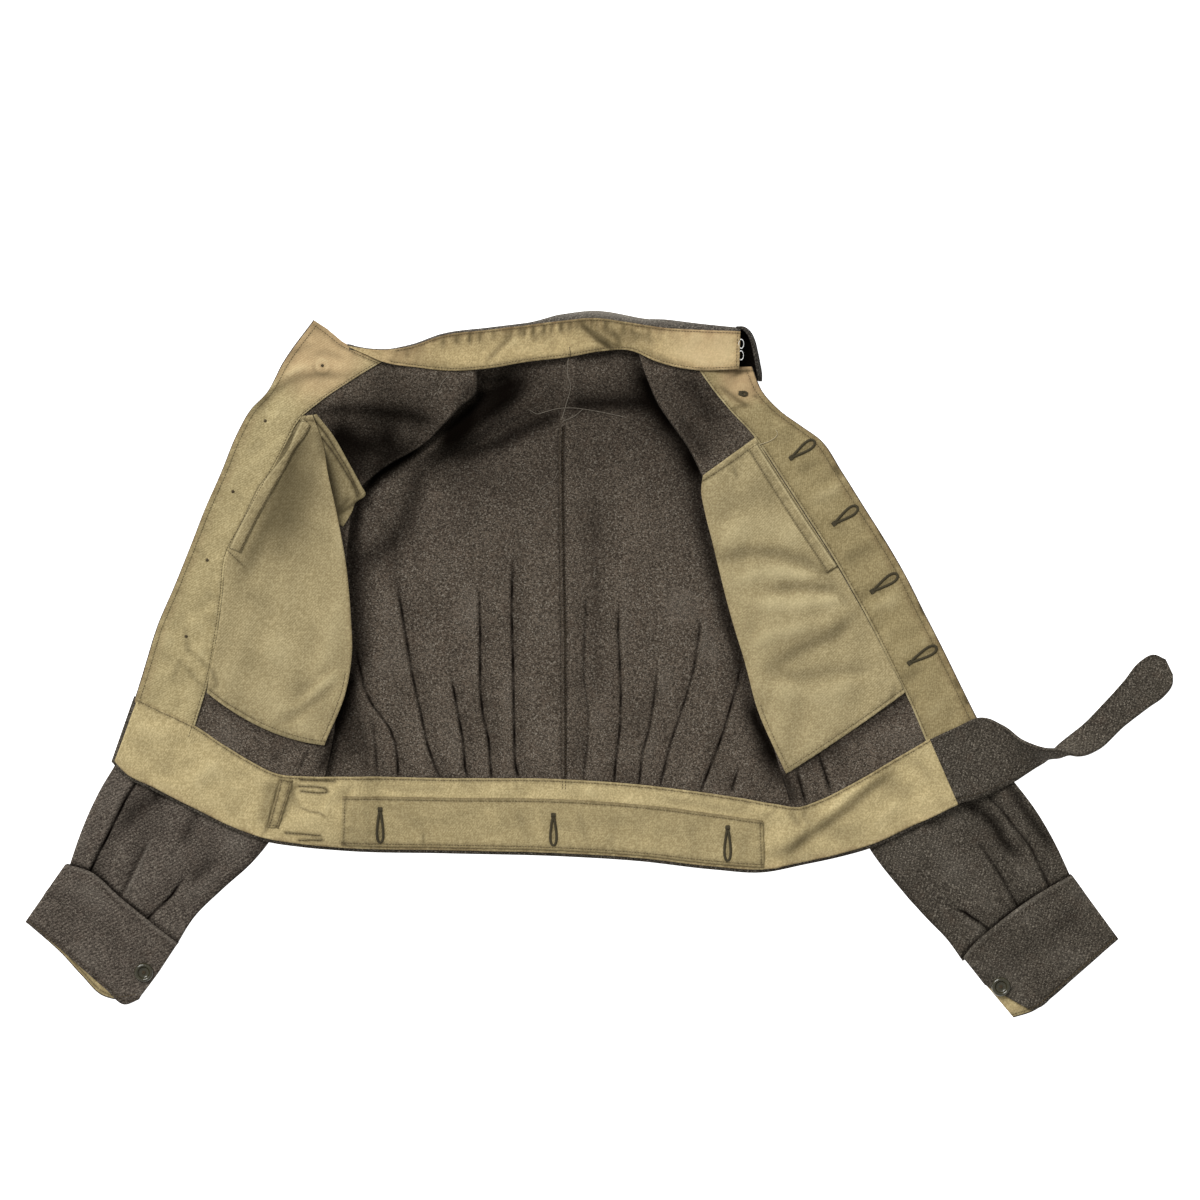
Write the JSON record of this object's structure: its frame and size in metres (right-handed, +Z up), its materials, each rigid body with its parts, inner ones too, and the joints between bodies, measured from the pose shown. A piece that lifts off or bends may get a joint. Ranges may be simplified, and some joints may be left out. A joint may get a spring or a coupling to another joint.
{
  "type": "battle dress tunic",
  "caption": "Short wool tunic lying open on its back, inside up: drill facings, pocket bags and lined waistband, with its sleeves flat beneath the fronts and the belt strap turned over once.",
  "frame": {"origin": "bottom centre of the garment's box, on the surface it lies on", "axes": "+X to the right across both sleeves, +Y towards the collar, +Z up from the surface"},
  "size_m": [1.207, 0.7438, 0.0363],
  "materials": {
    "wool_inside": "felted heathered wool serge, inside face",
    "wool_outside": "heathered wool serge with a diagonal twill",
    "drill": "worn khaki cotton drill",
    "button": "dull olive-brown dished button",
    "wire": "white metal wire"
  },
  "bodies": {
    "root": {"back_left": "wool_inside", "back_right": "wool_inside", "front_left": "wool_inside", "front_right": "wool_inside", "waistband_wool": "wool_inside", "sleeve_top_left": "wool_outside", "sleeve_top_right": "wool_outside", "sleeve_under_left": "wool_outside", "sleeve_under_right": "wool_outside", "cuff_top_left": "wool_outside", "cuff_top_right": "wool_outside", "cuff_under_left": "wool_outside", "cuff_under_right": "wool_outside", "collar_outer": "wool_outside", "collar_end": "wool_outside", "belt_strap": "wool_outside", "facing_left": "drill", "facing_right": "drill", "pocket_bag_left": "drill", "pocket_bag_right": "drill", "pocket_layer_left": "drill", "pocket_welt_left": "drill", "pocket_welt_right": "drill", "collar_lining": "drill", "waistband_lining": "drill", "buttonhole_strip": "drill", "belt_loop_tuck": "drill", "cuff_lining_left": "drill", "cuff_lining_right": "drill", "cuff_button_left": "button", "cuff_button_right": "button", "hook_eye_1": "wire", "hook_eye_2": "wire"}
  },
  "joints": []
}
